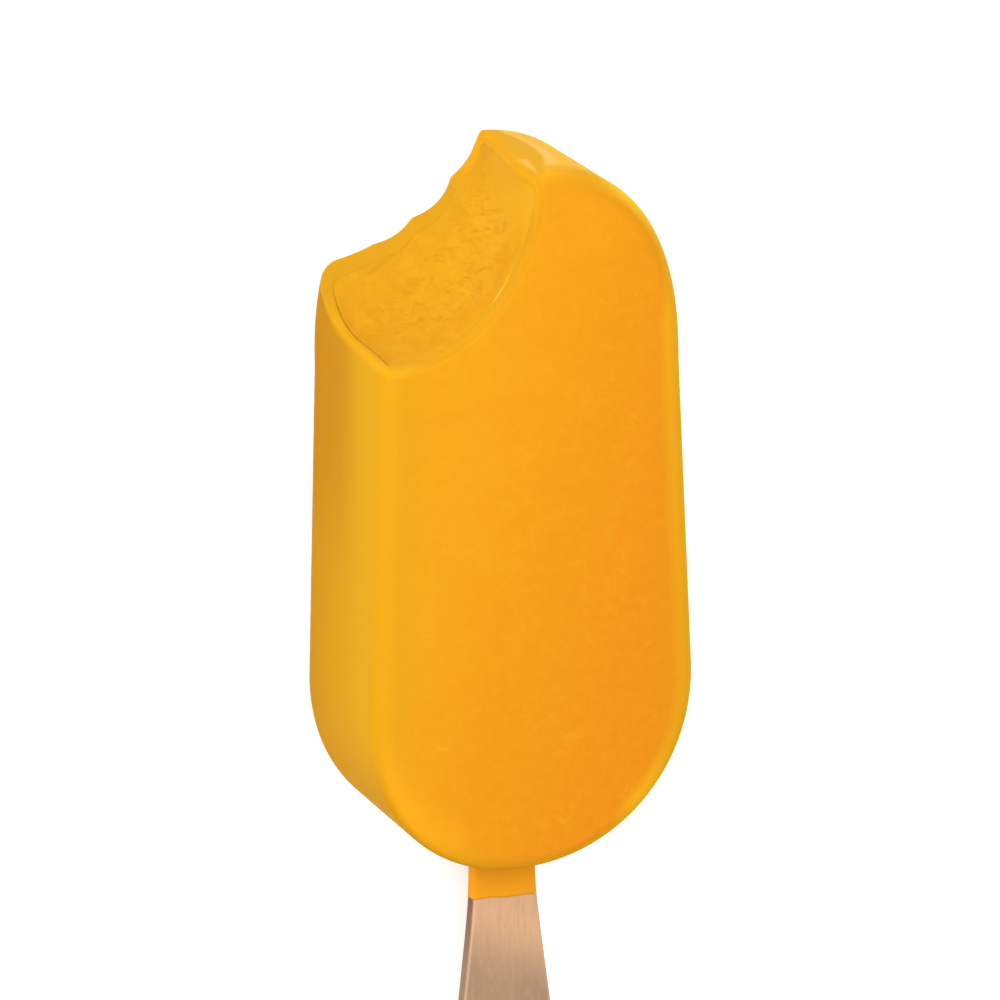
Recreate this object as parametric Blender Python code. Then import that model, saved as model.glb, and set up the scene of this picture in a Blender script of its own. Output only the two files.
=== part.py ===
"""An ice lolly with a bite out of one top corner.

A thin shell of smooth fruit ice holds a core of coarser sorbet, frozen onto a flat wooden stick.
The lolly lies on its back: +X runs across the bar, +Y along it from the stick to the rounded top,
and +Z up out of its front face. Lengths are in metres.
"""

import math
import random

import bmesh
import bpy

MM = 0.001

# The bar as it left the mould, whole
BAR_LENGTH = 100 * MM
BAR_THICKNESS = 24 * MM
LOW_WIDTH = 48.6 * MM
HIGH_WIDTH = 44.7 * MM
LOW_CURVE = 25.1 * MM
HIGH_CURVE = 29.5 * MM
LOW_FULLNESS = 2.08
HIGH_FULLNESS = 2.37
EDGE_RADIUS = 2.8 * MM
SHELL_WALL = 1.7 * MM
GAP = 0.3 * MM
CAP_STEPS = 30
SIDE_STEPS = 5

# The stick, which froze a little to the left of the bar's middle
STICK_ACROSS = -0.2 * MM
STICK_OUT = 45 * MM
STICK_IN = 68 * MM
STICK_THICKNESS = 2 * MM
NECK_WIDTH = 9.6 * MM
FLARE_SLOPE = 0.1225
FLARE_START = 8 * MM
FLARE_SOFTNESS = 2 * MM
PADDLE_END = 8.5 * MM
STICK_EDGE = 0.35 * MM

# The film of fruit ice that ran down the stick's neck
FILM_LENGTH = 8.45 * MM
FILM_WALL = 0.3 * MM
FILM_SPREAD = 0.2 * MM
FILM_SLANT = -0.135

# The bite is part of an oval, deeper at the front face than at the back, and bowed in and out on the way
BITE_CENTRE_X = -20 * MM
BITE_FRONT = {"middle": 99.0 * MM, "across": 20.8 * MM, "down": 22.5 * MM}
BITE_BACK = {"middle": 101.5 * MM, "across": 22.3 * MM, "down": 16.4 * MM}
BITE_HOLLOW = 3.0
BITE_BOW = 0.6 * MM
BITE_FROM = -28
BITE_TO = 118
OVERRUN = 1.5 * MM
CUTTER_REACH = 40 * MM

# Ridges left between the teeth: degrees round the oval, and how far out of it each one stands
RIDGES = ((-28, 1.4 * MM), (20, 0.45 * MM), (37, 0), (59.6, 0.05 * MM), (87, 1.2 * MM), (118, 1.2 * MM))
HOLLOWS = (0.1 * MM, 0.5 * MM, 0.8 * MM, 0.6 * MM, 0)
RIDGE_AT_FRONT = 0.12

# The broken grain of the bitten sorbet
CRUMB_HEIGHT = 0.3 * MM
CRUMB_SIZE = 1.1 * MM

# The whole part's middle lies on the Z axis, and its back on the ground
BAR_START = (STICK_OUT - BAR_LENGTH) / 2
MID_DEPTH = BAR_THICKNESS / 2

FRUIT_ICE = (0.90, 0.36, 0.010)
SORBET = (0.87, 0.41, 0.022)
BIRCH = (0.70, 0.44, 0.27)


def clear_scene():
    for thing in list(bpy.data.objects):
        bpy.data.objects.remove(thing)


def material(name, colour, roughness):
    made = bpy.data.materials.new(name)
    made.use_nodes = True
    shader = made.node_tree.nodes["Principled BSDF"]
    shader.inputs["Base Color"].default_value = (*colour, 1)
    shader.inputs["Roughness"].default_value = roughness
    shader.inputs["Metallic"].default_value = 0
    return made


def put_in_scene(name, mesh_data, finish=None):
    """One object from a bmesh, its faces pointing out. Without a finish it is a helper that never shows."""
    bmesh.ops.recalc_face_normals(mesh_data, faces=mesh_data.faces)
    mesh = bpy.data.meshes.new(name)
    mesh_data.to_mesh(mesh)
    mesh_data.free()
    thing = bpy.data.objects.new(name, mesh)
    bpy.context.scene.collection.objects.link(thing)
    thing.location.y = BAR_START
    if finish:
        mesh.materials.append(finish)
        mesh.shade_smooth()
        mesh.set_sharp_from_angle(angle=math.radians(35))
    else:
        thing.hide_render = True
        thing.display_type = "WIRE"
    return thing


def loft(rings):
    """A closed mesh through rings of points, each with as many points as the next, capped at both ends."""
    made = bmesh.new()
    rows = [[made.verts.new(point) for point in ring] for ring in rings]
    for row, following in zip(rows, rows[1:]):
        for i in range(len(row)):
            made.faces.new((row[i - 1], row[i], following[i], following[i - 1]))
    made.faces.new(rows[0])
    made.faces.new(rows[-1])
    return made


def combine(thing, operation, other):
    modifier = thing.modifiers.new(other.name, "BOOLEAN")
    modifier.operation = operation
    modifier.object = other


def quarter_curve(turn, fullness):
    """Shares of the width and of the height at an angle round a quarter of a superellipse."""
    return abs(math.cos(turn)) ** (2 / fullness), abs(math.sin(turn)) ** (2 / fullness)


def bar_side():
    """The outline's right half, from the middle of the stick end to the middle of the top, seen from the front."""
    points = []
    for i in range(CAP_STEPS + 1):
        turn = math.radians(90) * i / CAP_STEPS
        drop, across = quarter_curve(turn, LOW_FULLNESS)
        points.append((LOW_WIDTH / 2 * across, LOW_CURVE * (1 - drop)))
    straight = BAR_LENGTH - LOW_CURVE - HIGH_CURVE
    for i in range(1, SIDE_STEPS):
        share = i / SIDE_STEPS
        across = (LOW_WIDTH + (HIGH_WIDTH - LOW_WIDTH) * share) / 2
        points.append((across, LOW_CURVE + straight * share))
    for i in range(CAP_STEPS + 1):
        turn = math.radians(90) * i / CAP_STEPS
        across, rise = quarter_curve(turn, HIGH_FULLNESS)
        points.append((HIGH_WIDTH / 2 * across, BAR_LENGTH - HIGH_CURVE * (1 - rise)))
    return points


def bar_outline(inset):
    """The bar's whole outline, moved inwards by inset along its own normals."""
    right = bar_side()
    whole = right + [(-x, y) for x, y in reversed(right[1:-1])]
    moved = []
    for i, (x, y) in enumerate(whole):
        before, after = whole[i - 1], whole[(i + 1) % len(whole)]
        along_x, along_y = after[0] - before[0], after[1] - before[1]
        length = math.hypot(along_x, along_y)
        moved.append((x - along_y / length * inset, y + along_x / length * inset))
    return moved


def bar_body(inset, edge_steps):
    """The bar's closed form inset from its moulded surface: flat faces, upright sides and rounded edges."""
    radius = EDGE_RADIUS - inset * 0.8
    half = BAR_THICKNESS / 2 - inset - radius
    turns = [math.radians(90) * i / edge_steps for i in range(edge_steps + 1)]
    rings = []
    for side in (-1, 1):
        for turn in reversed(turns) if side < 0 else turns:
            outline = bar_outline(inset + radius * (1 - math.cos(turn)))
            height = MID_DEPTH + side * (half + radius * math.sin(turn))
            rings.append([(x, y, height) for x, y in outline])
    return loft(rings)


def tooth_marks(degrees):
    """How far the teeth went past the oval: round hollows, each one tooth wide, that meet in ridges."""
    for (start, rise), (end, next_rise), depth in zip(RIDGES, RIDGES[1:], HOLLOWS):
        if degrees <= end:
            break
    share = (degrees - start) / (end - start)
    return rise + (next_rise - rise) * share + depth * math.sin(math.pi * share)


def bite_point(degrees, height, crumb):
    """A point of the bitten surface, at an angle round the oval and a height above the back face."""
    turn = math.radians(degrees)
    back_share = max(0.0, 1 - height / BAR_THICKNESS) ** BITE_HOLLOW
    middle, across, down = (
        BITE_FRONT[key] + (BITE_BACK[key] - BITE_FRONT[key]) * back_share
        for key in ("middle", "across", "down")
    )
    marked = tooth_marks(degrees) * (RIDGE_AT_FRONT + (1 - RIDGE_AT_FRONT) * back_share)
    bowed = BITE_BOW * math.sin(2 * math.pi * height / BAR_THICKNESS)
    grown = marked + bowed + crumb
    x = BITE_CENTRE_X + (across + grown) * math.sin(turn)
    y = middle - (down + grown) * math.cos(turn)
    return (x, y, height)


def bite_cutter(name, turns, heights, crumb_height):
    """A block whose lower right side is the bitten surface, with crumbs of that height."""
    chance = random.Random(7)
    made = bmesh.new()
    grid = []
    for i in range(turns + 1):
        degrees = BITE_FROM + (BITE_TO - BITE_FROM) * i / turns
        row = []
        for j in range(heights + 1):
            height = -OVERRUN + (BAR_THICKNESS + 2 * OVERRUN) * j / heights
            crumb = crumb_height * chance.uniform(-1, 1)
            row.append(made.verts.new(bite_point(degrees, height, crumb)))
        grid.append(row)
    for row, following in zip(grid, grid[1:]):
        for j in range(heights):
            made.faces.new((row[j], row[j + 1], following[j + 1], following[j]))
    grown = bmesh.ops.extrude_face_region(made, geom=made.faces[:], use_keep_orig=True)
    moved = [item for item in grown["geom"] if isinstance(item, bmesh.types.BMVert)]
    bmesh.ops.translate(made, verts=moved, vec=(-CUTTER_REACH, CUTTER_REACH, 0))
    return put_in_scene(name, made)


def stick_half_width(y):
    """Half the stick's width: parallel at the neck, then a smooth turn into a straight flare."""
    past = (-FLARE_START - y) / FLARE_SOFTNESS
    return NECK_WIDTH / 2 + FLARE_SLOPE * FLARE_SOFTNESS * math.log1p(math.exp(past))


def stick_side(grow):
    """The stick's right side from its outer tip to its inner tip, moved outwards by grow."""
    outer_y = PADDLE_END - STICK_OUT
    inner_y = STICK_IN - NECK_WIDTH / 2
    end_steps, side_steps = 10, 16
    points = []
    for i in range(end_steps + 1):
        turn = math.radians(90) * i / end_steps
        across = (stick_half_width(outer_y) + grow) * math.sin(turn)
        points.append((across, outer_y - (PADDLE_END + grow) * math.cos(turn)))
    for i in range(1, side_steps):
        y = outer_y + (inner_y - outer_y) * (i / side_steps) ** 1.6
        points.append((stick_half_width(y) + grow, y))
    for i in range(end_steps + 1):
        turn = math.radians(90) * i / end_steps
        radius = NECK_WIDTH / 2 + grow
        points.append((radius * math.cos(turn), inner_y + radius * math.sin(turn)))
    return points


def stick_body(grow):
    """The stick's flat closed form, or with some growth the slot that it leaves in the ice."""
    right = stick_side(grow)
    whole = right + [(-x, y) for x, y in reversed(right[1:-1])]
    half = STICK_THICKNESS / 2 + grow
    return loft([[(x + STICK_ACROSS, y, MID_DEPTH + side * half) for x, y in whole] for side in (-1, 1)])


def film_ring(y, grow):
    """A rounded rectangle round the stick at y, slanted as the film's lower edge is."""
    half_x = stick_half_width(y) + grow
    half_z = STICK_THICKNESS / 2 + grow
    corner = 0.9 * min(half_z, half_x)
    ring = []
    for quarter in range(4):
        for i in range(5):
            turn = math.radians(90) * (quarter + i / 4)
            centre_x = math.copysign(half_x - corner, math.cos(math.radians(90 * quarter + 45)))
            centre_z = math.copysign(half_z - corner, math.sin(math.radians(90 * quarter + 45)))
            x = centre_x + corner * math.cos(turn)
            lean = FILM_SLANT * x * min(1.0, max(0.0, -y) / FILM_LENGTH)
            ring.append((x + STICK_ACROSS, y + lean, MID_DEPTH + centre_z + corner * math.sin(turn)))
    return ring


def film_sleeve():
    """The film round the neck, thin at its lower edge and spreading into the bar's end."""
    thin = GAP + FILM_WALL
    return loft(
        [
            film_ring(-FILM_LENGTH, thin * 0.85),
            film_ring(-FILM_LENGTH + FILM_WALL, thin),
            film_ring(-1.2 * MM, thin),
            film_ring(-0.2 * MM, thin + FILM_SPREAD * 0.4),
            film_ring(SHELL_WALL * 0.8, thin + FILM_SPREAD),
        ]
    )


def make_shell(slot):
    shell = put_in_scene("fruit_ice_shell", bar_body(0, 5), material("fruit ice", FRUIT_ICE, 0.35))
    combine(shell, "UNION", put_in_scene("film_sleeve", film_sleeve()))
    combine(shell, "DIFFERENCE", put_in_scene("shell_cavity", bar_body(SHELL_WALL, 2)))
    combine(shell, "DIFFERENCE", bite_cutter("shell_bite", 73, 12, 0))
    combine(shell, "DIFFERENCE", slot)


def make_core(slot):
    core = put_in_scene("sorbet_core", bar_body(SHELL_WALL + GAP, 2), material("sorbet", SORBET, 0.5))
    around = round(math.radians(BITE_TO - BITE_FROM) * BITE_FRONT["across"] / CRUMB_SIZE)
    through = round(BAR_THICKNESS / CRUMB_SIZE)
    combine(core, "DIFFERENCE", bite_cutter("core_bite", around, through, CRUMB_HEIGHT))
    combine(core, "DIFFERENCE", slot)


def make_stick():
    stick = put_in_scene("stick", stick_body(0), material("birch", BIRCH, 0.6))
    bevel = stick.modifiers.new("worn edges", "BEVEL")
    bevel.width = STICK_EDGE
    bevel.segments = 2
    bevel.limit_method = "ANGLE"
    bevel.angle_limit = math.radians(60)


clear_scene()
slot_helper = put_in_scene("stick_slot", stick_body(GAP))
make_shell(slot_helper)
make_core(slot_helper)
make_stick()
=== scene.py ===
"""Dresses the packed ice lolly: shell of fruit ice, bitten sorbet, wooden stick and the film on its neck."""

import bmesh
import bpy
import numpy as np
from mathutils import Matrix, Vector


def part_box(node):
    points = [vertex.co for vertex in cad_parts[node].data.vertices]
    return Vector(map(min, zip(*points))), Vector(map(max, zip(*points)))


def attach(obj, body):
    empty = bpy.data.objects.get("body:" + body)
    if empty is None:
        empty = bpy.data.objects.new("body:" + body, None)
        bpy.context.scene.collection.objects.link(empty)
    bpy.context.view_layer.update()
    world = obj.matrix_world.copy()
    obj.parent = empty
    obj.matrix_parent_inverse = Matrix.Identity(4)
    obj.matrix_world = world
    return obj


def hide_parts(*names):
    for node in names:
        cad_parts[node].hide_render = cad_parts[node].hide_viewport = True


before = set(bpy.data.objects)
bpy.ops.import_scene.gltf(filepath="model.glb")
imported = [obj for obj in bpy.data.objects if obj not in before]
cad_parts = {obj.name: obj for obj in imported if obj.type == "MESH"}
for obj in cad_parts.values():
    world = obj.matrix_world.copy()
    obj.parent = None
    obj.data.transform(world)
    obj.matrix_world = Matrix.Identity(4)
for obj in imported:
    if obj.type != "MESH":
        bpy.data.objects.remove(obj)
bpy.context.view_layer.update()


# The shell of fruit ice
# Smooth mango ice that froze first against the cold mould, so it is dense, even and a little glossy.
# It is one closed skin: the moulded outside, the cut edge in the bite and the inner wall behind it.

# Lengths are in mm, with y from the bar's stick end, and colours are linear red, green and blue
MM = 0.001
BAR_LENGTH, BAR_DEPTH = 100.0, 24.0
# Width, length and fullness of the superellipse at the stick end and of the one at the top
LOW_WIDTH, HIGH_WIDTH = 48.6, 44.7
LOW_CURVE, HIGH_CURVE = 25.1, 29.5
LOW_FULLNESS, HIGH_FULLNESS = 2.08, 2.37
EDGE_RADIUS = 2.8
# How much smaller the edge's radius is on a layer, for each mm that the layer lies in from the mould
EDGE_TAPER = 0.8
SHELL_WALL = 1.7
STICK_OUT = 45.0
BAR_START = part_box("stick")[0].y / MM + STICK_OUT
BITE_CENTRE_X = -20.0
# Middle up the bar, half-width across and half-width down of the bite's oval, at the front and at the back
BITE_FRONT = np.array([99.0, 20.8, 22.5])
BITE_BACK = np.array([101.5, 22.3, 16.4])
# The power by which the one passes into the other, and how far the bite bows in and out on the way
BITE_HOLLOW, BITE_BOW = 3.0, 0.6
# The ridges between tooth marks: their place round the oval, their rise, the hollow after each, and how much
# of both is left at the front
RIDGE_DEGREES = np.array([-28, 20, 37, 59.6, 87, 118])
RIDGE_RISE = np.array([1.4, 0.45, 0, 0.05, 1.2, 1.2])
HOLLOW_DEPTH = np.array([0.1, 0.5, 0.8, 0.6, 0])
RIDGE_AT_FRONT = 0.12
# Radius of the worn lip round the bite at the front and at the back, and of the crease by the sorbet
FRONT_LIP, BACK_LIP = 0.9, 0.12
LEFT_CREASE, OTHER_CREASE = 0.4, 0.02
# Numbers of points: along a fine outline, along a rim, and on a side where the bite's edge is looked for
OUTLINE_POINTS, RIM_POINTS, SIDE_POINTS = 4001, 260, 700
# Where the search up a side starts, as a share of its length
SIDE_START = 0.6
# How often a point's distance behind the bite is bettered, and the furthest that it may lie out in the open
BITE_STEPS, BITE_OPEN = 8, -10
# Rows over the moulded outside, drawn closer toward the bite by a power, and down the inner wall
OUTSIDE_ROWS, OUTSIDE_POWER, INNER_ROWS = 125, 1.15, 40
# Colours of the face, its rounded edge, the walls, the top, the cut edge and the film on the neck. Painted
# light
# and shade are among them: on the face, the edges, the walls, the top, the lip and the film
FACE_UPPER_SHEEN, FACE_LOWER, FACE_TURNED_SHADE = (0.640, 0.285, 0.008), (0.630, 0.211, 0.008), (0.585, 0.232, 0.008)
PALE_CURL, DEEP_CLOUD, RIGHT_SHADE = (0.665, 0.325, 0.014), (0.630, 0.222, 0.008), (0.575, 0.222, 0.008)
RIDGE, LOW_RIDGE_HIGHLIGHT, RIGHT_RIDGE_LIT = (0.575, 0.275, 0.008), (0.710, 0.316, 0.010), (0.76, 0.45, 0.016)
TOP_RIDGE, TOP_RIGHT_HIGHLIGHT = (0.575, 0.272, 0.010), (0.78, 0.480, 0.035)
# The walls' colours hold painted shade, darkest at the back, and the low wall's colour holds painted light
WALL_BACK_SHADE, WALL_MIDDLE, WALL_FRONT = (0.445, 0.203, 0.005), (0.495, 0.248, 0.005), (0.555, 0.274, 0.006)
WALL_SHADE, WALL_LOW_LIT = (0.385, 0.162, 0.005), (0.55, 0.240, 0.003)
# The pale top, the streak and the chip's glint are painted highlights on the wet top
TOP, PALE_TOP_SHEEN = (0.57, 0.275, 0.008), (0.70, 0.358, 0.012)
STREAK_HIGHLIGHT, CHIP_GLINT = (0.69, 0.380, 0.090), (0.65, 0.35, 0.06)
CUT, CUT_TOP, CUT_BACK = (0.530, 0.243, 0.008), (0.60, 0.283, 0.008), (0.486, 0.245, 0.010)
CUT_LEFT, LIP_SHADE = (0.55, 0.285, 0.009), (0.50, 0.222, 0.008)
FILM, FILM_SHADE = (0.78, 0.286, 0.012), (0.545, 0.178, 0.012)
RIGHT, LEFT, UPWARD, DOWNWARD = (1, 0, 0), (-1, 0, 0), (0, 1, 0), (0, -1, 0)
OUTWARD, INWARD = (0, 0, 1), (0, 0, -1)
# Zones of the ice: where each starts and where it is full, in mm along one of those directions
WET_SHEEN_ZONE, TOP_ZONE, LOW_ZONE, LOW_RIDGE_ZONE, TIP_ZONE = (56, 64), (48, 62), (2, 16), (0, 16), (19, 27)
FILM_ZONE, SHADED_FILM = (27.2, 27.8), (-30, -27.6)
# The arc of meltwater over the top, along which a highlight is painted: its place across the bar, its height
# and how strongly it bends
ARC_ACROSS, ARC_HEIGHT, ARC_BEND = 6.9, 9.5, 0.027


def outline_of(points):
    """A function for x and y at a distance along half an outline, on side -1 or 1, taken in by so much."""
    travelled = np.append(0, np.hypot(*np.diff(points, axis=0).T).cumsum())
    along = np.linspace(0, travelled[-1], OUTLINE_POINTS)
    x, y = (np.interp(along, travelled, column) for column in points.T)
    heading = np.gradient(np.stack([x, y]), along, axis=1)
    heading /= np.hypot(*heading)
    heading[:, 0] = 1, 0
    heading[:, -1] = -1, 0

    def place(side, distance, taken):
        out_x = np.interp(distance, along, heading[1])
        out_y = -np.interp(distance, along, heading[0])
        across = np.interp(distance, along, x) - out_x * taken
        return side * across, np.interp(distance, along, y) - out_y * taken

    place.length = travelled[-1]
    return place


def bar_half():
    """Half the bar's outline: a quarter superellipse at the stick end, a straight, and one at the top."""
    turn = np.linspace(0, np.pi / 2, 900)
    low = [
        LOW_WIDTH / 2 * np.sin(turn) ** (2 / LOW_FULLNESS),
        LOW_CURVE * (1 - np.cos(turn) ** (2 / LOW_FULLNESS)),
    ]
    high = [
        HIGH_WIDTH / 2 * np.cos(turn) ** (2 / HIGH_FULLNESS),
        BAR_LENGTH - HIGH_CURVE * (1 - np.sin(turn) ** (2 / HIGH_FULLNESS)),
    ]
    return np.concatenate([np.transpose(low), np.transpose(high)])


def wall_profile(depth, edge, count):
    """Down a wall from face to face: a quarter circle, a straight and a quarter circle, in even steps.

    Gives each point's height, how far in from the wall it lies, and 1 on the wall falling to 0 on a face.
    """
    quarter = edge * np.pi / 2
    straight = depth - 2 * edge
    down = np.linspace(0, 2 * quarter + straight, count)
    front = np.clip((quarter - down) / edge, 0, np.pi / 2)
    back = np.clip((down - quarter - straight) / edge, 0, np.pi / 2)
    height = edge + straight - np.clip(down - quarter, 0, straight) + edge * (np.sin(front) - np.sin(back))
    return height, edge * (1 - np.cos(front + back)), np.cos(front + back)


def bite_size(height):
    """Middle and half-widths of the bite's oval, which blend from front to back as a power of the depth."""
    back = np.clip(1 - height / BAR_DEPTH, 0, 1) ** BITE_HOLLOW
    return [start + (end - start) * back for start, end in zip(BITE_FRONT, BITE_BACK)]


def tooth_marks(turn, height):
    """Hollows that the teeth left past the oval: a half sine wave between two ridges, fading to the front.

    The whole bite also bows in and out, by one sine wave from the back to the front.
    """
    degrees = np.clip(np.degrees(turn), RIDGE_DEGREES[0], RIDGE_DEGREES[-1] - 1e-6)
    first = np.searchsorted(RIDGE_DEGREES, degrees, side="right") - 1
    share = (degrees - RIDGE_DEGREES[first]) / (RIDGE_DEGREES[first + 1] - RIDGE_DEGREES[first])
    rise = np.interp(degrees, RIDGE_DEGREES, RIDGE_RISE)
    back = np.clip(1 - height / BAR_DEPTH, 0, 1) ** BITE_HOLLOW
    marks = rise + HOLLOW_DEPTH[first] * np.sin(np.pi * share)
    bowed = BITE_BOW * np.sin(2 * np.pi * height / BAR_DEPTH)
    return marks * (RIDGE_AT_FRONT + (1 - RIDGE_AT_FRONT) * back) + bowed


def bitten(turn, height, deeper):
    """x and y on the bitten surface: the oval at that height, grown by the tooth marks and by deeper."""
    middle, across, down = bite_size(height)
    grown = tooth_marks(turn, height) + deeper
    return BITE_CENTRE_X + (across + grown) * np.sin(turn), middle - (down + grown) * np.cos(turn)


def past_bite(x, y, height):
    """How far a point lies in the ice behind the bite, and its angle round the oval, by repeated steps."""
    middle, across, down = bite_size(height)
    past = np.zeros(np.broadcast(x, y, height).shape)
    for _ in range(BITE_STEPS):
        turn = np.arctan2((x - BITE_CENTRE_X) / (across + past), (middle - y) / (down + past))
        sideways = (x - BITE_CENTRE_X - across * np.sin(turn)) * np.sin(turn)
        past = np.maximum(sideways + (middle - y - down * np.cos(turn)) * np.cos(turn), BITE_OPEN)
    return past - tooth_marks(turn, height), turn


def where_bitten(side, height, taken, deeper):
    """How far up one side each level of the wall first meets the bitten surface, and the angle there."""
    along = np.linspace(SIDE_START, 1, SIDE_POINTS) * BAR.length
    x, y = BAR(side, along, taken[:, None])
    past, turn = past_bite(x, y, height[:, None])
    after = (past < deeper).argmax(axis=1)
    level = np.arange(len(height))
    ice, air = past[level, after - 1] - deeper, past[level, after] - deeper
    share = ice / (ice - air)
    met = turn[level, after - 1] * (1 - share) + turn[level, after] * share
    return along[after - 1] + share * (along[1] - along[0]), met


def smooth(value, low, high):
    """Rises from 0 at low to 1 at high by a smooth step."""
    share = np.clip((value - low) / (high - low), 0, 1)
    return share * share * (3 - 2 * share)


def band(value, start, full, fading, end):
    """Rises by a smooth step from 0 at start to 1 at full, and falls the same way from fading to end."""
    return smooth(value, start, full) * smooth(-value, -end, -fading)


def from_outline(flat):
    """Distance from points of a face to the bar's outline, as that of the nearest of many points along it."""
    along = np.linspace(0, BAR.length, RIM_POINTS)
    rim = np.concatenate([np.stack(BAR(side, along, 0), -1) for side in (-1, 1)])
    return np.hypot(*np.moveaxis(flat[..., None, :] - rim, -1, 0)).min(axis=-1)


def bar_rings(inset, deeper, shares, across, down):
    """Rings of points round the bar, taken in by inset, from the stick end at share 0 to the bite at share 1.

    Each ring runs over the front face, down the right wall, back under the bar and up the left wall. Its line
    over a face is straight near the stick and bends, as the fourth power of its share, into the bite's curve.
    Gives the points and how far in, in mm, each one lies from the bar's outline.
    """
    edge = EDGE_RADIUS - EDGE_TAPER * inset
    height, taken, _ = wall_profile(BAR_DEPTH - 2 * inset, edge, down)
    height, taken = height + inset, taken + inset
    left_end, left_turn = where_bitten(-1, height, taken, deeper)
    right_end, right_turn = where_bitten(1, height, taken, deeper)
    shares = np.asarray(shares, float)[:, None]
    left = np.stack(BAR(-1, shares * left_end, taken), -1)
    right = np.stack(BAR(1, shares * right_end, taken), -1)
    left_rim = np.stack(BAR(-1, left_end, taken), -1)
    right_rim = np.stack(BAR(1, right_end, taken), -1)
    step = (np.arange(1, across + 1) / (across + 1))[:, None]
    runs = []
    for face in (0, -1):
        turn = left_turn[face] + (right_turn[face] - left_turn[face]) * step[:, 0]
        curve = np.stack(bitten(turn, height[face], deeper), -1)
        bend = curve - left_rim[face] * (1 - step) - right_rim[face] * step
        run = left[:, None, face] * (1 - step) + right[:, None, face] * step + bend * shares[:, :, None] ** 4
        runs.append(run)
    flat = np.concatenate([runs[0], right, runs[1][:, ::-1], left[:, ::-1]], axis=1)
    front, back = np.full(across, height[0]), np.full(across, height[-1])
    levels = np.concatenate([front, height, back, height[::-1]])
    on_wall = np.broadcast_to(taken, left.shape[:2])
    reach = [from_outline(runs[0]), on_wall, from_outline(runs[1])[:, ::-1], on_wall[:, ::-1]]
    return np.dstack([flat, np.broadcast_to(levels, flat.shape[:2])]), np.concatenate(reach, axis=1)


def weld(name, sheets):
    """One closed mesh from sheets in mm, each of points, values by name, and whether its columns close."""
    places, faces, start = [], [], 0
    values = {key: [] for key in sheets[0][1]}
    for points, named, closes in sheets:
        rows, columns = points.shape[:2]
        index = np.arange(rows * columns).reshape(rows, columns) + start
        if closes:
            index = np.concatenate([index, index[:, :1]], axis=1)
        quads = np.stack([index[:-1, :-1], index[:-1, 1:], index[1:, 1:], index[1:, :-1]], -1)
        faces.append(quads.reshape(-1, 4))
        places.append(points.reshape(-1, 3))
        for key, value in named.items():
            values[key].append(np.broadcast_to(value, (rows, columns)).ravel())
        start += rows * columns
    places = (np.concatenate(places) + (0, BAR_START, 0)) * MM
    mesh = bpy.data.meshes.new(name)
    mesh.from_pydata(places, [], np.concatenate(faces))
    for key, value in values.items():
        mesh.attributes.new(key, "FLOAT", "POINT").data.foreach_set("value", np.concatenate(value))
    made = bmesh.new()
    made.from_mesh(mesh)
    bmesh.ops.remove_doubles(made, verts=made.verts, dist=1e-6)
    bmesh.ops.recalc_face_normals(made, faces=made.faces)
    made.to_mesh(mesh)
    made.free()
    mesh.shade_smooth()
    piece = bpy.data.objects.new(name, mesh)
    bpy.context.scene.collection.objects.link(piece)
    return piece


def shell_sheet(lip, crease):
    """The moulded outside, a round lip, the cut edge across the wall, the crease's edge and the inner wall.

    Gives the points, how far in from the bar's outline each lies, and 0 outside rising to 1 past the lip.
    """
    across, down = 84, 60
    outside = 1 - (1 - np.linspace(0, 1, OUTSIDE_ROWS)) ** OUTSIDE_POWER
    turns = np.linspace(0, np.pi / 2, 11)[1:]
    points, reach = bar_rings(0, lip, outside, across, down)
    sheets = [points]
    for turn in turns:
        sheets.append(bar_rings(lip * (1 - np.cos(turn)), lip * (1 - np.sin(turn)), [1], across, down)[0])
    for inset in np.linspace(lip, SHELL_WALL - crease, 6)[1:]:
        sheets.append(bar_rings(inset, 0, [1], across, down)[0])
    for turn in np.linspace(0, np.pi / 2, 5)[1:]:
        inset, deeper = SHELL_WALL - crease * (1 - np.sin(turn)), crease * (1 - np.cos(turn))
        sheets.append(bar_rings(inset, deeper, [1], across, down)[0])
    sheets.append(bar_rings(SHELL_WALL, crease, np.linspace(1, 0, INNER_ROWS)[1:], across, down)[0])
    points = np.concatenate(sheets)
    past = len(points) - len(reach)
    reach = np.concatenate([reach, np.repeat(reach[-1:], past, axis=0)])
    cut = np.concatenate([np.zeros(len(outside)), np.sin(turns) ** 2, np.ones(past - len(turns))])
    return points, reach, cut[:, None]


def creased(points):
    """1 along the bar's left wall between its two rounded edges, and 0 elsewhere."""
    x, height = points[..., 0], points[..., 2]
    return smooth(-x, 15, 20) * band(height, 2, 6, 20.5, 22.4)


def shell_skin():
    """The shell's sheet, its lip widest at the front and its crease deepest by the left wall."""
    narrow, reach, cut = shell_sheet(BACK_LIP, OTHER_CREASE)
    wide, front_reach, _ = shell_sheet(FRONT_LIP, OTHER_CREASE)
    deep, _, _ = shell_sheet(FRONT_LIP, LEFT_CREASE)
    front = smooth(narrow[..., 2:], 3, 9)
    points = narrow + (wide - narrow) * front + (deep - wide) * creased(narrow)[..., None]
    return points, {"reach": reach + (front_reach - reach) * front[..., 0], "cut": cut}, True


def new_material(name):
    """A material with its node tree, its shader, and a function that adds a node with values and links."""
    made = bpy.data.materials.new(name)
    made.use_nodes = True
    tree = made.node_tree
    shader = tree.nodes["Principled BSDF"]

    def add(kind, links=None, **settings):
        node = tree.nodes.new("ShaderNode" + kind)
        for key, value in settings.items():
            setattr(node, key, value)
        for key, value in (links or {}).items():
            if isinstance(value, bpy.types.NodeSocket):
                tree.links.new(value, node.inputs[key])
            else:
                node.inputs[key].default_value = value
        return node

    def join(output, key):
        tree.links.new(output, shader.inputs[key])

    return made, shader, add, join


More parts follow.
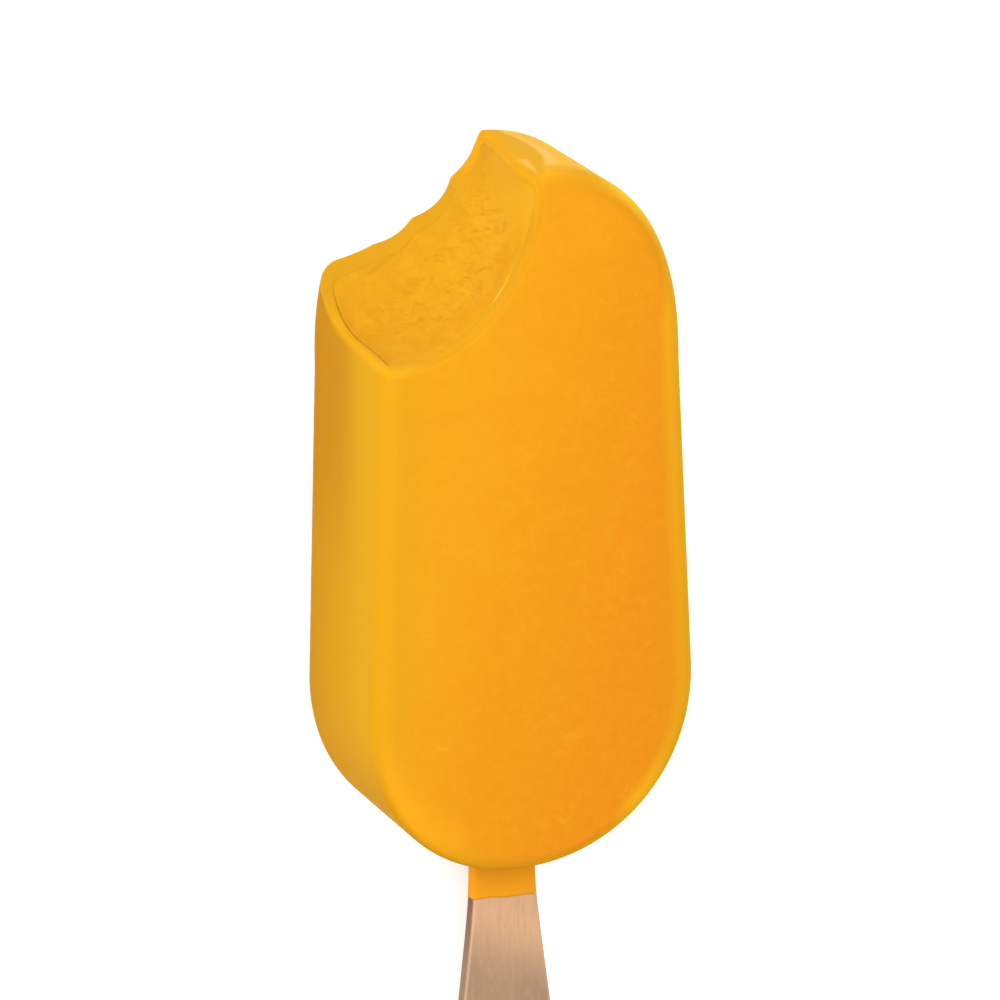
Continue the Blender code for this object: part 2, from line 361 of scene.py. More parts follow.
def noise(add, size, detail=2.0, stretch=(1, 1, 1), warp=0.0, roughness=0.5, turn=0.0):
    """Noise over the object, in features of so many mm, stretched along the axes and turned about Z."""
    where = add("TexCoord").outputs["Object"]
    links = {"Vector": where, "Scale": tuple(MM * size * each for each in stretch), "Rotation": (0, 0, turn)}
    sized = add("Mapping", links, vector_type="TEXTURE")
    links = {"Vector": sized.outputs["Vector"], "Scale": 1.0, "Detail": detail, "Distortion": warp}
    links["Roughness"] = roughness
    return add("TexNoise", links).outputs["Fac"]


def spread(add, value, low, high, start=0.0, end=1.0):
    """Maps a value's range from low to high onto start to end, and holds it there beyond."""
    links = {"Value": value, "From Min": low, "From Max": high, "To Min": start, "To Max": end}
    return add("MapRange", links).outputs["Result"]


def tint(add, share, first, second):
    """The first colour where share is 0, the second where it is 1."""
    node = add("Mix", data_type="RGBA")
    for key, value in ((0, share), (6, first), (7, second)):
        if isinstance(value, bpy.types.NodeSocket):
            node.id_data.links.new(value, node.inputs[key])
        else:
            node.inputs[key].default_value = (*value, 1)
    return node.outputs[2]


def placed(add, direction, low, high):
    """0 to 1 by a smooth step from low to high, both in mm, along a direction through the object."""
    where = add("TexCoord").outputs["Object"]
    along = add("VectorMath", {0: where, 1: direction}, operation="DOT_PRODUCT").outputs["Value"]
    links = {"Value": along, "From Min": low * MM, "From Max": high * MM}
    return add("MapRange", links, interpolation_type="SMOOTHSTEP").outputs["Result"]


def product(add, first, second):
    return add("Math", {0: first, 1: second}, operation="MULTIPLY").outputs["Value"]


def total(add, first, second):
    return add("Math", {0: first, 1: second}).outputs["Value"]


def the_rest(add, share):
    """1 less the share."""
    return spread(add, share, 0, 1, 1, 0)


def let_light_in(shader, share, depth):
    """Lets a share of the light in under the surface, red to so many mm and green and blue less far."""
    shader.inputs["Subsurface Weight"].default_value = share
    shader.inputs["Subsurface Radius"].default_value = (1.0, 0.45, 0.1)
    shader.inputs["Subsurface Scale"].default_value = depth * MM


def frozen_marks(add, colour):
    """The colour with faint pale curls, slanted scratches, and paler and deeper clouds frozen into it."""
    curl = noise(add, 3.0, detail=3, stretch=(1, 1.3, 1), warp=1.4, turn=0.7)
    curl = product(add, spread(add, curl, 0.47, 0.5), spread(add, curl, 0.53, 0.5))
    curl = product(add, curl, spread(add, noise(add, 5, detail=2), 0.5, 0.66, 0, 0.4))
    colour = tint(add, curl, colour, PALE_CURL)
    scratch = spread(add, noise(add, 0.7, detail=2, stretch=(1, 7, 1), warp=0.3, turn=0.75), 0.6, 0.72)
    scratch = product(add, scratch, spread(add, noise(add, 8, detail=1), 0.48, 0.62, 0, 0.35))
    colour = tint(add, scratch, colour, PALE_CURL)
    pale_cloud = noise(add, 1.5, detail=3, warp=0.6)
    colour = tint(add, spread(add, pale_cloud, 0.42, 0.66, 0, 0.2), colour, PALE_CURL)
    colour = tint(add, spread(add, noise(add, 1.1, detail=2), 0.6, 0.75, 0, 0.25), colour, DEEP_CLOUD)
    wide_cloud = noise(add, 12, detail=2, warp=0.5)
    return tint(add, spread(add, wide_cloud, 0.42, 0.68, 0, 0.25), colour, DEEP_CLOUD)


def wall_colour(add):
    """Dull yellow with painted shade: lighter from back to front and darker behind the bite. Toward the stick
    it is redder, with painted light where the low wall turns from the lamps.
    """
    wall = tint(add, placed(add, OUTWARD, 1, 12), WALL_BACK_SHADE, WALL_MIDDLE)
    # Painted shade on the back half of the wall, up toward the bite
    shade_behind_bite = product(add, placed(add, UPWARD, 8, 38), placed(add, INWARD, -19, -10))
    wall = tint(add, product(add, shade_behind_bite, 0.6), wall, WALL_SHADE)
    wall = tint(add, placed(add, OUTWARD, 10, 20), wall, WALL_FRONT)
    # Painted light on the low wall by the stick
    return tint(add, product(add, placed(add, DOWNWARD, *LOW_ZONE), 0.9), wall, WALL_LOW_LIT)


def past_arc(add):
    """How far, in mm, a place on the top lies to the right of the arc.

    The arc is furthest right at its height and bends left by the square of the distance from there.
    """
    place = add("SeparateXYZ", {"Vector": add("TexCoord").outputs["Object"]}).outputs
    half = LOW_WIDTH / 2
    across = spread(add, place["X"], -half * MM, half * MM, -half - ARC_ACROSS, half - ARC_ACROSS)
    depth = spread(add, place["Z"], 0, BAR_DEPTH * MM, -ARC_HEIGHT, BAR_DEPTH - ARC_HEIGHT)
    return total(add, across, product(add, product(add, depth, depth), ARC_BEND))


def wet_top_sheen(add, wall, wet):
    """The wall's colour with the wet top over it, and painted highlights: a pale sheen to the right of the
    arc and a brighter streak along it.
    """
    from_arc = past_arc(add)
    melt_sheen = product(add, wet, spread(add, from_arc, -0.9, 0.1))
    streak = product(add, spread(add, from_arc, -0.7, 0), spread(add, from_arc, 0.1, 2.0, 1, 0))
    streak = product(add, streak, placed(add, INWARD, -21, -18))
    wall = tint(add, wet, wall, TOP)
    wall = tint(add, product(add, melt_sheen, placed(add, LEFT, -18, -10)), wall, PALE_TOP_SHEEN)
    return tint(add, product(add, wet, streak), wall, STREAK_HIGHLIGHT)


def edge_colour(add, wall, top, reach):
    """The wall's colour with that of the rounded edge by the face over it, yellower at the right.

    The edge holds painted light: a highlight along the lower left, painted light along the right, partly the
    yellow of the thin ice, and a pale highlight at the top right.
    """
    rightward = placed(add, RIGHT, -5, 10)
    # Painted light along the right edge, and a pale painted highlight where it meets the top
    right_edge_lit = tint(add, top, RIGHT_RIDGE_LIT, tint(add, placed(add, RIGHT, 8, 15), TOP_RIDGE, TOP_RIGHT_HIGHLIGHT))
    wall = tint(add, product(add, rightward, placed(add, OUTWARD, 17.5, 21)), wall, right_edge_lit)
    # A painted highlight along the lower left edge, fading before the tip
    before_tip = the_rest(add, product(add, placed(add, DOWNWARD, *TIP_ZONE), 0.55))
    low = product(add, placed(add, DOWNWARD, *LOW_RIDGE_ZONE), before_tip)
    left_edge = tint(add, low, RIDGE, LOW_RIDGE_HIGHLIGHT)
    return tint(add, spread(add, reach, 0, 1), wall, tint(add, rightward, left_edge, right_edge_lit))


def face_share(add, top, reach):
    """How much of the face's colour shows. It starts nearer to the edge at the right, the top and the tip."""
    nearer = spread(add, placed(add, RIGHT, -12, 18), 0, 1, 1, 1.5)
    nearer = total(add, nearer, product(add, top, 2.2))
    nearer = total(add, nearer, product(add, placed(add, DOWNWARD, *TIP_ZONE), 2.5))
    return spread(add, product(add, reach, nearer), 0.9, 6.2)


def cut_over(add, colour):
    """The colour with that of the cut edge over it, lighter at the left and the top, and painted shade on the
    lip.
    """
    cut = add("Attribute", attribute_name="cut").outputs["Fac"]
    leftward = product(add, placed(add, LEFT, 15, 19), placed(add, OUTWARD, 3, 8))
    cut_colour = tint(add, placed(add, OUTWARD, 9, 19), CUT_BACK, CUT)
    cut_colour = tint(add, placed(add, UPWARD, 64, 70), cut_colour, CUT_TOP)
    colour = tint(add, cut, colour, tint(add, leftward, cut_colour, CUT_LEFT))
    # Painted shade along the lip's rounding, darkest halfway round it
    lip = spread(add, product(add, cut, the_rest(add, cut)), 0, 0.25, 0, 0.6)
    return tint(add, product(add, lip, the_rest(add, leftward)), colour, LIP_SHADE)


def chip_glint_over(add, colour, wet):
    """The colour with a small painted peach-coloured highlight over it, on a chip of the wet top beside the
    bite.
    """
    # A painted highlight, not a change in the ice
    chip = product(add, placed(add, RIGHT, 1.0, 1.6), placed(add, (-1, 0, -0.25), -7.2, -6.6))
    chip = product(add, chip, product(add, placed(add, OUTWARD, 15.5, 17), placed(add, INWARD, -23, -20.5)))
    return tint(add, product(add, wet, chip), colour, CHIP_GLINT)


def film_over(add, colour):
    """The colour with that of the film on the neck over it, shaded where it leaves the bar."""
    colour = tint(add, placed(add, DOWNWARD, *FILM_ZONE), colour, FILM)
    shaded = product(add, placed(add, UPWARD, *SHADED_FILM), placed(add, DOWNWARD, 27.2, 27.6))
    return tint(add, shaded, colour, FILM_SHADE)


def fruit_ice_finish():
    """Mango ice: deep orange on the faces, yellow round their edges where it is thin, duller on the walls.

    Faint paler curls and scratches are frozen into it. The top, warmed by the mouth, is wet. Light and shade
    are
    painted into the colour: a paler sheen over the face's upper left, shade on the face by the top edge and
    at the right, highlights on the rounded edges, shade on the walls and the lip, highlights on the wet top
    and a shadow on the film.
    """
    made, shader, add, join = new_material("fruit ice")
    reach = add("Attribute", attribute_name="reach").outputs["Fac"]
    # The wet zone also bounds the painted highlights on the top
    wet, top = placed(add, UPWARD, *WET_SHEEN_ZONE), placed(add, UPWARD, *TOP_ZONE)
    # The face is paler and yellower toward the upper left: a painted sheen of the light from there
    face = frozen_marks(add, tint(add, placed(add, (0.96, -0.28, 0), -32, 19), FACE_UPPER_SHEEN, FACE_LOWER))
    # Painted shade on the face near the top edge, where it starts to turn over the rounding
    turned = product(add, top, the_rest(add, spread(add, reach, 1.2, 3.4)))
    face = tint(add, turned, face, FACE_TURNED_SHADE)
    wall = edge_colour(add, wet_top_sheen(add, wall_colour(add), wet), top, reach)
    colour = tint(add, face_share(add, top, reach), wall, face)
    right_shade = product(add, placed(add, RIGHT, 14, 22), spread(add, reach, 0.2, 1.5, 0.33, 0.5))
    colour = tint(add, right_shade, colour, RIGHT_SHADE)
    join(film_over(add, chip_glint_over(add, cut_over(add, colour), wet)), "Base Color")
    join(spread(add, noise(add, 2.2, detail=3), 0.3, 0.7, 0.36, 0.46), "Roughness")
    waves = add("Bump", {"Height": noise(add, 7, detail=2), "Strength": 0.25, "Distance": 0.0004})
    fine = {"Height": noise(add, 0.5, detail=3), "Strength": 0.12, "Distance": 0.00008}
    grain = add("Bump", fine | {"Normal": waves.outputs["Normal"]})
    join(grain.outputs["Normal"], "Normal")
    duller = total(add, placed(add, DOWNWARD, *LOW_ZONE), product(add, wet, 0.6))
    join(spread(add, duller, 0, 1, 0.006, 0.001), "Specular IOR Level")
    let_light_in(shader, 0.25, 1.5)
    return made


BAR = outline_of(bar_half())
fruit_ice = fruit_ice_finish()
shell = weld("smooth_ice_shell", [shell_skin()])
shell.data.materials.append(fruit_ice)
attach(shell, "root")
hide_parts("fruit_ice_shell")


# The sorbet inside
# Coarser mango sorbet poured into the shell and frozen to it. The teeth tore it, so the bite shows its broken
# grain: ripples, branching cracks and finer specks. A crease parts it from the shell's left wall.

CORE_INSET = SHELL_WALL + 0.02
LATTICE_VALUES, LATTICE_STEPS = 4096, np.array([73856093, 19349663, 83492791])
TEAR_UP = np.array([0.18, 0.93, -0.33])
TEAR_ALONG = np.array([0.9, -0.03, 0.42])
# Three directions across each other, along which the patches with more marks are laid
SLANTED = np.array([(0.6, 0.5, -0.6), (0.0, 0.77, 0.64), (0.8, -0.38, 0.46)])
# Where the long and the short marks are: start, full, fading and end in mm of height and in degrees
RIPPLED_HEIGHT, RIPPLED_DEGREES = (2.5, 5.5, 17.5, 20), (26, 42, 68, 80)
SPECKED_HEIGHT, SPECKED_DEGREES = (3.5, 6, 18, 20), (-8, 6, 40, 60)
# The fold at the back: its height at so many degrees, its fall in mm for each degree, and its width
FOLD_HEIGHT, FOLD_AT, FOLD_FALL, FOLD_WIDTH, FOLD_DEGREES = 2.5, 14.8, 0.072, 0.28, (11, 16, 25, 30)
# Length and rise in mm of the long and the short marks, and how steeply the relief fades by the rim
LONG_MARK, SHORT_MARK, RIM_FADE = (1.7, 0.95), (0.9, 0.65), 12
# The painted highlight on the front rim: its middle across the bar and its width, and the heights it lies
# between
PALE_ACROSS, PALE_WIDTH, PALE_ZONE = -4.6, 1.4, (20.0, 21.7)
# How much painted shade the crease by the left wall gets, on the same scale as a crack
CREASE_SHADE = 0.5
FLESH_LEFT, FLESH_RIGHT_LIT, FLESH_FRONT_SHADE = (0.530, 0.243, 0.008), (0.580, 0.287, 0.009), (0.520, 0.225, 0.007)
FLESH_BACK, FLESH_PALE, FLESH_CRACK_SHADE = (0.492, 0.243, 0.009), (0.61, 0.300, 0.012), (0.41, 0.185, 0.008)
RIM_HIGHLIGHT = (0.64, 0.36, 0.03)


def smooth_noise(points, size, seed):
    """Noise from -1 to 1: random values on a lattice of that size, blended by smooth steps."""
    table = np.random.default_rng(seed).uniform(-1, 1, LATTICE_VALUES)
    scaled = points / size
    cell = np.floor(scaled).astype(np.int64)
    part = scaled - cell
    part = part * part * (3 - 2 * part)
    blended = 0
    for corner in np.ndindex(2, 2, 2):
        here = (cell + corner) @ LATTICE_STEPS
        weight = np.prod(np.where(corner, part, 1 - part), axis=-1)
        blended = blended + table[here % LATTICE_VALUES] * weight
    return blended


def crescents(along, up, length, rise, seed):
    """Depth from 0 to 1 of short torn marks: one arc in each cell of a jittered lattice, in shifted rows."""
    table = np.random.default_rng(seed).uniform(-1, 1, (64, 64, 5))
    along, up = along / length, up / rise
    row = np.floor(up).astype(np.int64)
    depth = np.zeros(along.shape)
    for beside, above in np.ndindex(3, 3):
        moved = along + 2.5 * table[0, (row + above) % 64, 4]
        column = np.floor(moved).astype(np.int64)
        aside, raised, size, force = np.moveaxis(table[(column + beside) % 64, (row + above) % 64, :4], -1, 0)
        share = (moved - column - beside + 0.5 - 0.45 * aside) / (0.6 + 0.3 * size)
        off_arc = up - row - above + 0.5 - 0.45 * raised + 0.12 * share**2
        mark = np.exp(-((off_arc / 0.2) ** 2)) * np.clip(1 - share**2, 0, 1) * smooth(force, -1.1, 0.7)
        depth = np.maximum(depth, mark)
    return depth


def torn_relief(points, degrees):
    """Height of the broken grain, in mm, and how deep in a crack each point lies, from 0 to 1.

    Cracks branch where a noise crosses zero. Long marks fill the middle of the bite and short ones its lower
    part, both over a height that wavers with noise. Between them the flesh swells. A short fold runs by the
    rim at the back.
    """
    height = points[..., 2]
    up = points @ TEAR_UP + 0.35 * smooth_noise(points, 1.1, 4) + 0.3 * smooth_noise(points, 3, 9)
    along = points @ TEAR_ALONG + 0.3 * smooth_noise(points, 1.3, 2)
    swell = smooth_noise(np.stack([along / 1.8, up / 0.6, height / 6], -1), 1, 6)
    patchy = smooth(smooth_noise(points @ SLANTED, 2.1, 5), -0.7, 0.3)
    rippled = band(height, *RIPPLED_HEIGHT) * band(degrees, *RIPPLED_DEGREES)
    specked = band(height, *SPECKED_HEIGHT) * band(degrees, *SPECKED_DEGREES) * (1 - rippled)
    off_fold = height - FOLD_HEIGHT + FOLD_FALL * (degrees - FOLD_AT)
    fold = np.exp(-((off_fold / FOLD_WIDTH) ** 2)) * band(degrees, *FOLD_DEGREES)
    crossing = smooth_noise(np.stack([along / 1.5, up / 0.75, height / 5], -1), 1, 11)
    branch = np.clip(1 - np.abs(crossing) / 0.2, 0, 1)
    branch = branch * smooth(smooth_noise(points @ SLANTED, 1.3, 12), -0.5, 0.4)
    long = 0.5 * crescents(along, up, *LONG_MARK, 6) * rippled
    short = 0.5 * crescents(along, up, *SHORT_MARK, 8) * specked
    crack = (long + short) * (0.45 + 0.55 * patchy) + 0.55 * branch * (rippled + 0.8 * specked)
    crack = np.clip(crack + fold, 0, 1)
    grain = 0.1 * swell * (rippled + 0.4 * specked) + 0.07 * smooth_noise(points, 3.2, 1)
    return grain + 0.008 * smooth_noise(points, 0.45, 3) - 0.07 * crack, crack


def rim_highlight(points):
    """Painted highlight on the sorbet's rim: only by the front face, and most at one place below the bite's
    middle.
    """
    streak = np.exp(-(((points[..., 0] - PALE_ACROSS) / PALE_WIDTH) ** 2))
    return smooth(points[..., 2], *PALE_ZONE) * (0.15 + 0.85 * streak)


def bite_face(across, down, lip):
    """The bitten surface inside the sorbet's rim, angle round the oval by height, moved by the relief."""
    inset = CORE_INSET + lip
    edge = EDGE_RADIUS - EDGE_TAPER * inset
    height, taken, _ = wall_profile(BAR_DEPTH - 2 * inset, edge, down)
    height, taken = height + inset, taken + inset
    _, left = where_bitten(-1, height, taken, 0)
    _, right = where_bitten(1, height, taken, 0)
    step = np.linspace(0, 1, across + 2)[:, None]
    turn = left + (right - left) * step
    even = np.dstack([*bitten(turn, height, 0), np.broadcast_to(height, turn.shape)])
    relief, crack = torn_relief(even, np.degrees(turn))
    rim = np.minimum(step, 1 - step) * 2 * np.minimum(np.arange(down), np.arange(down)[::-1]) * 2 / down
    fade = np.clip(rim * RIM_FADE, 0, 1)
    x, y = bitten(turn, height, -relief * fade)
    # The crease by the left wall gets painted shade too
    crack = crack * fade + CREASE_SHADE * creased(even) * (1 - fade) ** 4
    # The painted highlight by the front rim fades into the bite
    return np.dstack([x, y, even[..., 2]]), {"crack": crack, "pale": rim_highlight(even) * (1 - fade) ** 0.5}


def sorbet_sheets(lip):
    """The sorbet's moulded sides with its rounded rim in the bite, and the torn face inside the rim."""
    across, down = 350, 175
    rings = [bar_rings(CORE_INSET, lip, np.linspace(0, 1, 16), across, down)[0]]
    for turn in np.linspace(0, np.pi / 2, 5)[1:]:
        inset = CORE_INSET + lip * (1 - np.cos(turn))
        rings.append(bar_rings(inset, lip * (1 - np.sin(turn)), [1], across, down)[0])
    sides = np.concatenate(rings)
    # Painted shade along the crease and a painted highlight along the front rim, on the sides
    values = {"crack": CREASE_SHADE * creased(sides), "pale": rim_highlight(sides)}
    return (sides, values), bite_face(across, down, lip)


def sorbet_skin():
    """The sorbet's sheets, their rim roundest along the left wall, with each point's crack and paleness."""
    skin = []
    sheets = zip(sorbet_sheets(OTHER_CREASE), sorbet_sheets(LEFT_CREASE), (True, False))
    for (shallow, value), (deep, _), closes in sheets:
        skin.append((shallow + (deep - shallow) * creased(shallow)[..., None], value, closes))
    return skin


def sorbet_finish():
    """Coarse sorbet: a yellower orange than the shell, with painted light toward the bite's upper right,
    painted shade low at the front, in its cracks and along the crease, and a painted highlight along the
    front rim.
    """
    made, shader, add, join = new_material("sorbet")
    crack, pale = (add("Attribute", attribute_name=name).outputs["Fac"] for name in ("crack", "pale"))
    # Lighter toward the upper right: painted light where the bite turns from the lamps
    colour = tint(add, placed(add, (0.85, 0.5, 0.3), 13, 40), FLESH_LEFT, FLESH_RIGHT_LIT)
    # Darker at the front, low in the bite: painted shade
    front = product(add, placed(add, OUTWARD, 15.5, 20), placed(add, DOWNWARD, -69, -60))
    colour = tint(add, front, colour, FLESH_FRONT_SHADE)
    colour = tint(add, product(add, placed(add, INWARD, -9, -3), 0.9), colour, FLESH_BACK)
    colour = tint(add, spread(add, noise(add, 2.0, detail=4), 0.46, 0.7, 0, 0.4), colour, FLESH_PALE)
    # Painted shade in the cracks and along the crease
    colour = tint(add, spread(add, crack, 0.05, 0.9, 0, 0.8), colour, FLESH_CRACK_SHADE)
    # A painted highlight along the front rim
    colour = tint(add, pale, colour, RIM_HIGHLIGHT)
    join(colour, "Base Color")
    join(spread(add, noise(add, 0.8, detail=2), 0.3, 0.7, 0.45, 0.6), "Roughness")
    broken = noise(add, 0.45, detail=4, roughness=0.6)
    grain = add("Bump", {"Height": broken, "Strength": 0.35, "Distance": 0.0001})
    join(grain.outputs["Normal"], "Normal")
    shader.inputs["Specular IOR Level"].default_value = 0.01
    let_light_in(shader, 0.2, 0.8)
    return made


sorbet = weld("torn_sorbet", sorbet_skin())
sorbet.data.materials.append(sorbet_finish())
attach(sorbet, "root")
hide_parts("sorbet_core")


# The wooden stick
# A flat birch stick, cut from veneer and tumbled, so its edges are a little worn. It is narrow at the neck
# and flares to a round paddle. The bar froze round its inner end.

STICK_IN = 68.0
STICK_DEPTH = 2.0
STICK_ACROSS = -0.2
NECK_HALF = 4.8
FLARE_SLOPE, FLARE_START, FLARE_SOFTNESS = 0.1225, 8.0, 2.0
PADDLE_END = 8.5
STICK_EDGE = 0.5
BIRCH_NECK, BIRCH_PADDLE, BIRCH_BAND = (0.575, 0.335, 0.183), (0.300, 0.193, 0.116), (0.50, 0.285, 0.165)
BIRCH_LINE, BIRCH_WORN_SHEEN = (0.36, 0.20, 0.12), (0.60, 0.37, 0.23)
EDGE_NECK_SHADE, EDGE_PADDLE_SHADE = (0.18, 0.065, 0.025), (0.25, 0.15, 0.09)


def stick_half_width(y):
    """Half the stick's width: parallel at the neck, then a smooth turn into a straight flare."""
    past = (-FLARE_START - y) / FLARE_SOFTNESS
    return NECK_HALF + FLARE_SLOPE * FLARE_SOFTNESS * np.logaddexp(0, past)


def stick_half():
    """Half the stick's outline: a quarter ellipse at the paddle's end, the flare, a quarter circle inside."""
    turn = np.linspace(0, np.pi / 2, 120)
    paddle_y, inner_y = PADDLE_END - STICK_OUT, STICK_IN - NECK_HALF
    paddle = [stick_half_width(paddle_y) * np.sin(turn), paddle_y - PADDLE_END * np.cos(turn)]
    side_y = np.linspace(paddle_y, inner_y, 500)[1:-1]
    inner = [NECK_HALF * np.cos(turn), inner_y + NECK_HALF * np.sin(turn)]
    parts = [paddle, [stick_half_width(side_y), side_y], inner]
    return np.concatenate([np.transpose(part) for part in parts])


def stick_sheet():
    """Rings round the stick from the paddle's tip to the inner tip: two flat faces joined by worn edges."""
    across, down, along = 26, 15, 240
    height, taken, wall = wall_profile(STICK_DEPTH, STICK_EDGE, down)
    outline = outline_of(stick_half())
    ends = (1 - np.cos(np.linspace(0, np.pi, along))) / 2
    even = np.linspace(0, 1, along)
    distance = (0.5 * ends + 0.5 * even)[:, None] * outline.length
    right = np.stack(outline(1, distance, taken), -1)
    left = right * (-1, 1)
    step = (np.arange(1, across + 1) / (across + 1))[:, None]
    runs = [left[:, None, face] * (1 - step) + right[:, None, face] * step for face in (0, -1)]
    flat = np.concatenate([runs[0], right, runs[1][:, ::-1], left[:, ::-1]], axis=1)
    levels = np.concatenate([np.full(across, height[0]), height, np.full(across, height[-1]), height[::-1]])
    walls = np.concatenate([np.zeros(across), wall, np.zeros(across), wall[::-1]])
    levels = levels + (BAR_DEPTH - STICK_DEPTH) / 2
    points = np.dstack([flat + (STICK_ACROSS, 0), np.broadcast_to(levels, flat.shape[:2])])
    return points, {"wall": walls}, True


def birch_finish():
    """Bare birch: soft grain and blotches, pinker at the neck and greyer at the paddle.

    Its worn rounded edges are paler, partly a painted highlight, and painted shade lies on its narrow sides,
    darkest by the bar.
    """
    made, shader, add, join = new_material("birch")
    colour = tint(add, placed(add, (-0.5, -1, 0), 38, 50), BIRCH_NECK, BIRCH_PADDLE)
    bands = noise(add, 3.0, detail=2, stretch=(1, 6, 1), warp=0.6)
    colour = tint(add, spread(add, bands, 0.38, 0.64, 0, 0.2), colour, BIRCH_BAND)
    fibres = noise(add, 0.5, detail=3, stretch=(1, 9, 1))
    colour = tint(add, spread(add, fibres, 0.45, 0.8, 0, 0.4), colour, BIRCH_LINE)
    blotch = noise(add, 0.8, detail=3, stretch=(1, 2.5, 1))
    colour = tint(add, spread(add, blotch, 0.5, 0.75, 0, 0.2), colour, BIRCH_NECK)
    wall = add("Attribute", attribute_name="wall").outputs["Fac"]
    # The worn rounded edges are paler, partly a painted highlight
    colour = tint(add, spread(add, wall, 0.02, 0.3, 0, 0.5), colour, BIRCH_WORN_SHEEN)
    # Painted shade on the narrow sides, darkest by the bar
    edge = tint(add, placed(add, DOWNWARD, 33, 50), EDGE_NECK_SHADE, EDGE_PADDLE_SHADE)
    colour = tint(add, spread(add, wall, 0.55, 0.95), colour, edge)
    join(colour, "Base Color")
    join(spread(add, fibres, 0.3, 0.7, 0.55, 0.7), "Roughness")
    grain = add("Bump", {"Height": fibres, "Strength": 0.4, "Distance": 0.0001})
    join(grain.outputs["Normal"], "Normal")
    shader.inputs["Specular IOR Level"].default_value = 0.25
    return made


stick = weld("birch_stick", [stick_sheet()])
stick.data.materials.append(birch_finish())
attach(stick, "root")
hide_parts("stick")


# The film on the neck
# Fruit ice that crept down the stick before it froze: a thin skin round the neck, thinning to nothing at its
# uneven lower edge. It is one with the shell, and is frozen to the wood.

FILM_LENGTH, FILM_TOP, FILM_THICK = 8.45, 1.6, 0.03
# How far the film's outside clears the wood at its edge, and how far its inside is sunk into the wood
FILM_CLEAR, FILM_SUNK = 0.02, -0.15
# How much thicker it is where it leaves the bar, and the length in which most of that is gone
FILM_FLARE, FILM_FLARE_LENGTH = 0.12, 0.9
# How far the lower edge wavers, and how much it slants for each mm across
FILM_WAVER, FILM_SLANT = 0.12, -0.135
# The radius of the sleeve's corners, and how steeply its section turns from one flat side to the next
FILM_CORNER, FILM_TURNING = 0.6, 8


def film_sheet():
    """A sleeve: down the outside from inside the bar to the edge, round it, and back up against the wood."""
    around, rows = 96, 40
    down = np.linspace(0, 1, rows)[:, None]
    out = FILM_THICK * np.sqrt(np.clip(1 - down**16, 0, 1)) + FILM_CLEAR
    out = out + FILM_FLARE * np.exp(-(down * (FILM_LENGTH + FILM_TOP)) / FILM_FLARE_LENGTH)
    turn = np.linspace(0, 2 * np.pi, around, endpoint=False)
    side_x = np.clip(np.cos(turn) * FILM_TURNING, -1, 1)
    side_z = np.clip(np.sin(turn) * FILM_TURNING, -1, 1)
    end = FILM_LENGTH + FILM_WAVER * np.sin(NECK_HALF * side_x + 1)
    sheets = []
    for skin, order in ((out, slice(None)), (np.full_like(out, FILM_SUNK), slice(None, None, -1))):
        y = FILM_TOP - (FILM_TOP + end) * down
        half_x = stick_half_width(y) + skin
        half_z = STICK_DEPTH / 2 + skin
        corner = np.minimum(half_z * 0.85, FILM_CORNER + skin)
        x = (half_x - corner) * side_x + corner * np.cos(turn)
        z = (half_z - corner) * side_z + corner * np.sin(turn)
        y = y + FILM_SLANT * x * np.clip(-y / FILM_LENGTH, 0, 1)
        sheets.append(np.dstack([x + STICK_ACROSS, y, z + BAR_DEPTH / 2])[order])
    points = np.concatenate([*sheets, sheets[0][:1]])
    return points, {"reach": 0.0, "cut": 0.0}, True


film = weld("neck_film", [film_sheet()])
film.data.materials.append(fruit_ice)
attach(film, "root")
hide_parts("fruit_ice_shell")


# The floor, the lights and the camera
# A wide white surface under soft studio light, seen by a camera that looks down on the lolly lying there.

# Half the floor's width and its drop below the lolly, in metres, and the greys of its mottle
FLOOR_HALF, FLOOR_DROP = 4, 0.00005
FLOOR_GREY, FLOOR_WHITE = (0.93, 0.93, 0.93), (0.95, 0.95, 0.95)
# The camera's swing, rise and roll in degrees, and its place in mm from the bar's middle along its own axes
CAMERA_TURNS = [26.27, 21.87, 0.70]
CAMERA_RIGHT, CAMERA_UP, CAMERA_BACK = 0.202, 0.478, 806.5
CAMERA_LENS, CAMERA_SENSOR = 214.55, 36


def white_floor():
    """One wide square just under the lolly: a light table's matte white top, with a very faint mottle."""
    mesh = bpy.data.meshes.new("floor")
    square = np.array([(-1, -1, 0), (1, -1, 0), (1, 1, 0), (-1, 1, 0)])
    corners = square * FLOOR_HALF - (0, 0, FLOOR_DROP)
    mesh.from_pydata(corners, [], [(0, 1, 2, 3)])
    floor = bpy.data.objects.new("floor", mesh)
    bpy.context.scene.collection.objects.link(floor)
    made, shader, add, join = new_material("matte white")
    join(tint(add, noise(add, 60, detail=2), FLOOR_GREY, FLOOR_WHITE), "Base Color")
    shader.inputs["Roughness"].default_value = 0.9
    shader.inputs["Specular IOR Level"].default_value = 0.1
    shader.inputs["Emission Color"].default_value = (1, 1, 1, 1)
    shader.inputs["Emission Strength"].default_value = 0.3
    mesh.materials.append(made)


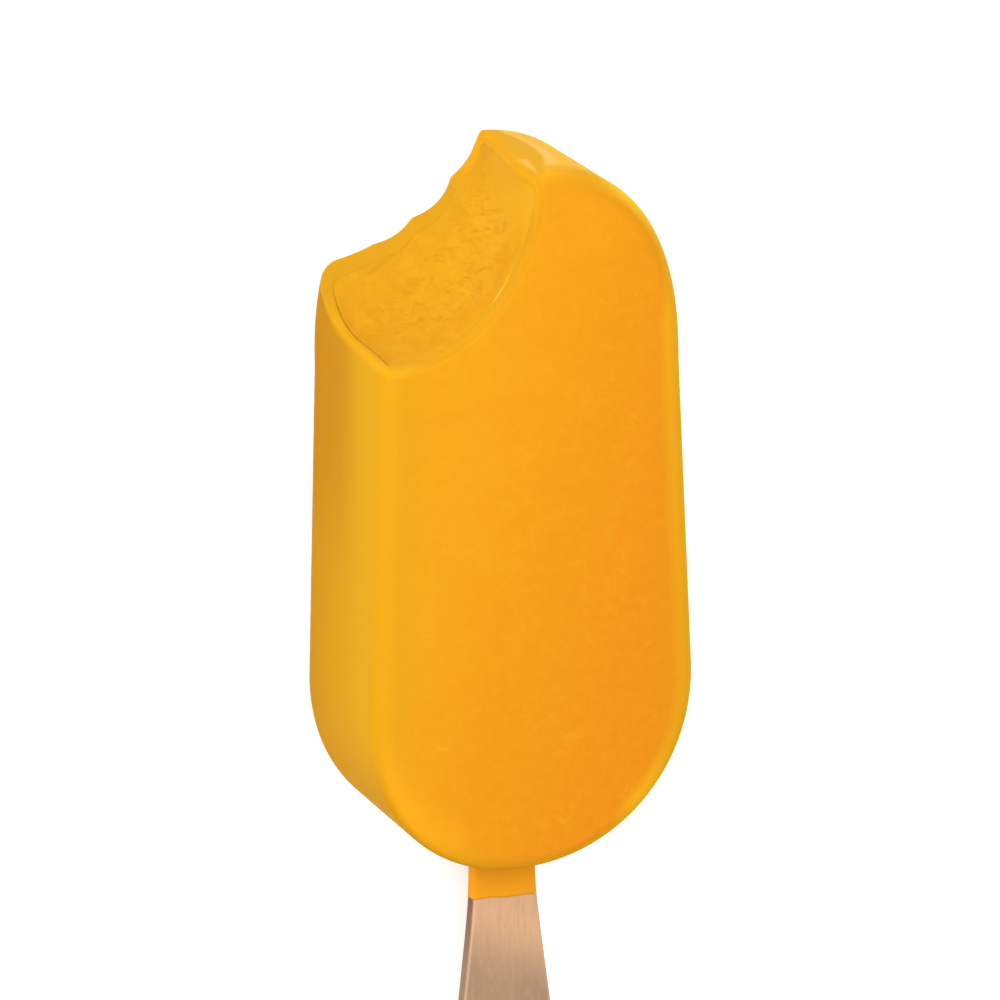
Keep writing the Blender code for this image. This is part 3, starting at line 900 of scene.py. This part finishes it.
def softbox(name, place, target, size, power):
    """A square area light at a place, turned to its target, all in metres."""
    light = bpy.data.lights.new(name, "AREA")
    light.size = size
    light.energy = power
    lamp = bpy.data.objects.new(name, light)
    bpy.context.scene.collection.objects.link(lamp)
    aim = (Vector(target) - Vector(place)).to_track_quat("-Z", "Y")
    lamp.matrix_world = Matrix.Translation(place) @ aim.to_matrix().to_4x4()


def photo_camera():
    """A camera at the photograph's angle and distance: its axes and place are those that fit the outline."""
    swing, rise, roll = np.radians(CAMERA_TURNS)
    back = np.array([-np.sin(swing) * np.cos(rise), np.sin(rise), np.cos(swing) * np.cos(rise)])
    level_up = np.array([0, 1, 0]) - back * back[1]
    level_up /= np.linalg.norm(level_up)
    level_right = np.cross(level_up, back)
    up = np.cos(roll) * level_up + np.sin(roll) * level_right
    right = np.cos(roll) * level_right - np.sin(roll) * level_up
    middle = np.array([0, BAR_START + BAR_LENGTH / 2, BAR_DEPTH / 2])
    place = middle + CAMERA_RIGHT * right + CAMERA_UP * up + CAMERA_BACK * back
    camera = bpy.data.cameras.new("camera")
    camera.sensor_width = CAMERA_SENSOR
    camera.lens = CAMERA_LENS
    camera.clip_start = 0.01
    holder = bpy.data.objects.new("camera", camera)
    bpy.context.scene.collection.objects.link(holder)
    turned = Matrix(np.stack([right, up, back], -1).tolist()).to_4x4()
    turned.translation = Vector(place * MM)
    holder.matrix_world = turned
    bpy.context.scene.camera = holder


def white_room():
    """An even pale surround."""
    world = bpy.data.worlds.new("white room")
    world.use_nodes = True
    world.node_tree.nodes["Background"].inputs["Color"].default_value = (1, 1, 1, 1)
    world.node_tree.nodes["Background"].inputs["Strength"].default_value = 0.45
    bpy.context.scene.world = world
    bpy.context.scene.view_settings.view_transform = "Standard"


white_floor()
softbox("overhead light", place=(-0.1, 0.1, 0.9), target=(0, 0, 0), size=0.9, power=3.5)
softbox("camera side light", place=(-0.40, 0.48, 0.75), target=(0, 0, 0.01), size=0.6, power=9.0)
white_room()
photo_camera()
